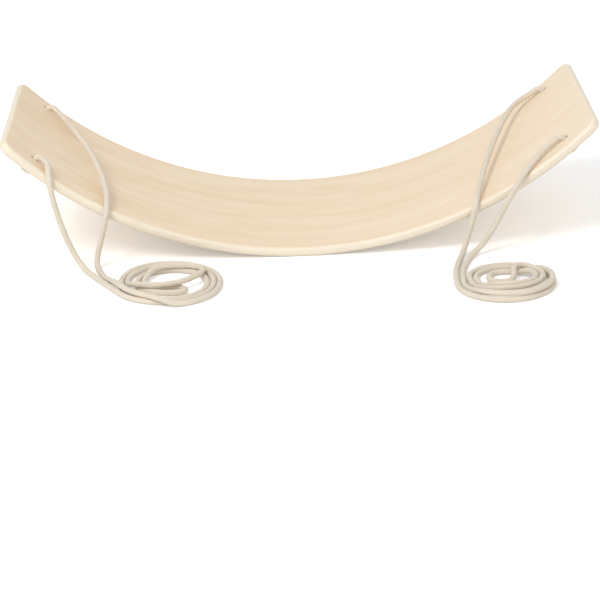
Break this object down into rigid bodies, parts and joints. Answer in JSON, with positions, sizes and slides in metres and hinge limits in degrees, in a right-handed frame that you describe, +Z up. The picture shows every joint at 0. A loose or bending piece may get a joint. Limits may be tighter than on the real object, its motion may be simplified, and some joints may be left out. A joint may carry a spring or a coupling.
{
  "type": "wobble board",
  "caption": "Curved plywood balance board lying as a cradle, with a knotted cotton rope through the holes at each end, coiled on the floor.",
  "frame": {"origin": "on the floor under the middle of the board, where its round face touches the floor", "axes": "+X along the board towards its right end, +Y across it away from the coiled ropes, +Z up"},
  "size_m": [0.8234, 0.5028, 0.1816],
  "materials": {
    "face_ply": "clear satin lacquer on a pale face veneer",
    "inner_ply": "sanded and lacquered edge of pale plywood",
    "cotton_rope": "natural twisted cotton"
  },
  "bodies": {
    "root": {"ply_1": "face_ply", "ply_2": "inner_ply", "ply_3": "inner_ply", "ply_4": "inner_ply", "ply_5": "inner_ply", "ply_6": "inner_ply", "ply_7": "inner_ply", "ply_8": "inner_ply", "ply_9": "face_ply", "left_rope_front_leg": "cotton_rope", "left_rope_back_leg": "cotton_rope", "left_rope_coil": "cotton_rope", "left_rope_front_knot": "cotton_rope", "left_rope_back_knot": "cotton_rope", "right_rope_front_leg": "cotton_rope", "right_rope_back_leg": "cotton_rope", "right_rope_coil": "cotton_rope", "right_rope_front_knot": "cotton_rope", "right_rope_back_knot": "cotton_rope"}
  },
  "joints": []
}
